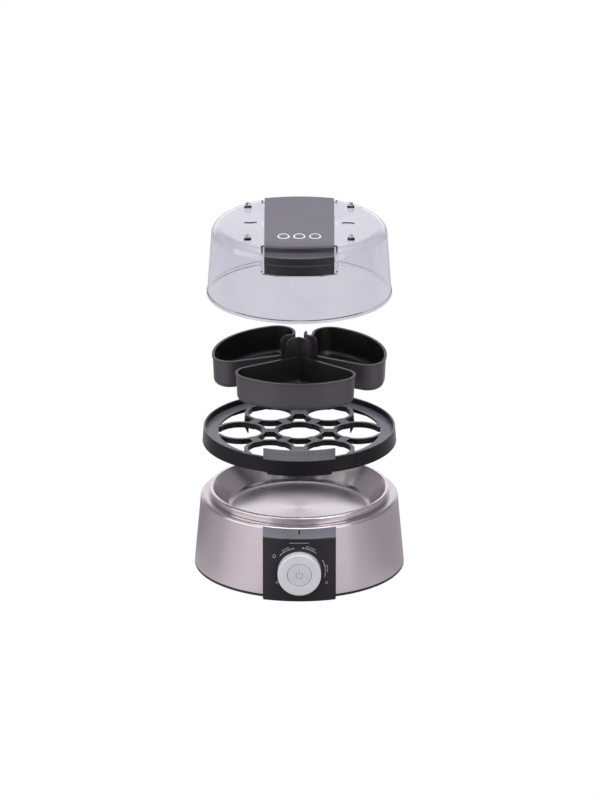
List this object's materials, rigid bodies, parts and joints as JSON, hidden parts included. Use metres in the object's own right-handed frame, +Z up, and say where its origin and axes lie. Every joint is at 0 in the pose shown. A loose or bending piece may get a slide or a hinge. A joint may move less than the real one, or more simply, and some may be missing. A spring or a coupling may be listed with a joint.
{
  "type": "egg cooker",
  "caption": "Electric egg cooker with a steel heated base, a rotary control, a ring rack for eggs, wedge poaching cups and a clear domed lid, shown lifted apart",
  "frame": {"origin": "centre of the resting plane under the base, on the axis of the bowl", "axes": "+Z up along the bowl's axis, -Y towards the control panel, +X to the user's right"},
  "size_m": [0.19, 0.21, 0.3311],
  "materials": {
    "brushed_steel": "cross-brushed, satin",
    "bowl_steel": "spun, satin",
    "seal_rubber": "matte",
    "foot_rubber": "matte",
    "black_plastic": "fine texture",
    "panel_plastic": "fine satin texture",
    "lens_plastic": "polished",
    "plate_aluminium": "as cast",
    "heater_steel": "annealed",
    "zinc_steel": "zinc plated",
    "ceramic_body": "unglazed",
    "fuse_sleeve": "woven sleeve",
    "board_laminate": "solder resist",
    "terminal_plastic": "matte",
    "gland_rubber": "matte",
    "lead_insulation": "silicone sleeve",
    "knob_silver": "satin silver lacquer",
    "pointer_white": "smooth",
    "button_silver": "satin silver lacquer",
    "spring_steel": "drawn wire",
    "rack_plastic": "fine satin texture",
    "cup_coating": "non-stick coating",
    "clear_plastic": "clear moulded plastic",
    "handle_plastic": "satin grey",
    "grip_plastic": "satin black"
  },
  "bodies": {
    "base": {"outer_shell": "brushed_steel", "water_bowl": "bowl_steel", "bowl_seal": "seal_rubber", "base_tray": "black_plastic", "foot_pads": "foot_rubber", "control_panel": "panel_plastic", "indicator_lens": "lens_plastic", "heater_plate": "plate_aluminium", "heater_element": "heater_steel", "plate_standoffs": "zinc_steel", "tray_screws": "zinc_steel", "thermostat": "ceramic_body", "thermostat_bracket": "zinc_steel", "thermal_fuse": "fuse_sleeve", "control_board": "board_laminate", "board_screws": "zinc_steel", "panel_screws": "zinc_steel", "rotary_sensor": "black_plastic", "start_switch": "black_plastic", "buzzer": "black_plastic", "indicator_led": "lens_plastic", "terminal_block": "terminal_plastic", "cord_gland": "gland_rubber", "cord_clamp": "black_plastic", "clamp_screws": "zinc_steel", "inner_leads": "lead_insulation"},
    "knob": {"knob_ring": "knob_silver", "knob_hub": "black_plastic", "knob_pointer": "pointer_white"},
    "button": {"start_button": "button_silver", "button_spring": "spring_steel"},
    "rack": {"egg_rack": "rack_plastic"},
    "cup_front": {"cup_front": "cup_coating"},
    "cup_left": {"cup_left": "cup_coating"},
    "cup_right": {"cup_right": "cup_coating"},
    "lid": {"lid_shell": "clear_plastic", "lid_handle": "handle_plastic", "lid_grip_front": "grip_plastic", "lid_grip_rear": "grip_plastic", "lid_screws": "zinc_steel"}
  },
  "joints": [
    {"name": "rack_lift", "type": "slide", "parent": "base", "child": "rack", "axis": [0, 0, 1], "range_m": [-0.0507, 0]},
    {"name": "cup_front_lift", "type": "slide", "parent": "rack", "child": "cup_front", "axis": [0, 0, 1], "range_m": [-0.0462, 0]},
    {"name": "cup_left_lift", "type": "slide", "parent": "rack", "child": "cup_left", "axis": [0, 0, 1], "range_m": [-0.0462, 0]},
    {"name": "cup_right_lift", "type": "slide", "parent": "rack", "child": "cup_right", "axis": [0, 0, 1], "range_m": [-0.0462, 0]},
    {"name": "lid_lift", "type": "slide", "parent": "cup_front", "child": "lid", "axis": [0, 0, 1], "range_m": [-0.0864, 0]},
    {"name": "knob_turn", "type": "hinge", "parent": "base", "child": "knob", "pos_m": [0, -0.1, 0.0295], "axis": [0, 1, 0], "range_deg": [-55, 110]},
    {"name": "start_press", "type": "slide", "parent": "base", "child": "button", "axis": [0, 1, 0], "range_m": [0, 0.0015], "stiffness_N_per_m": 1200, "springref_m": -0.0005, "deforming": ["button_spring"]}
  ],
  "couplings": [
    {"joint": "cup_left_lift", "follows": "cup_front_lift", "ratio": 1},
    {"joint": "cup_right_lift", "follows": "cup_front_lift", "ratio": 1}
  ]
}
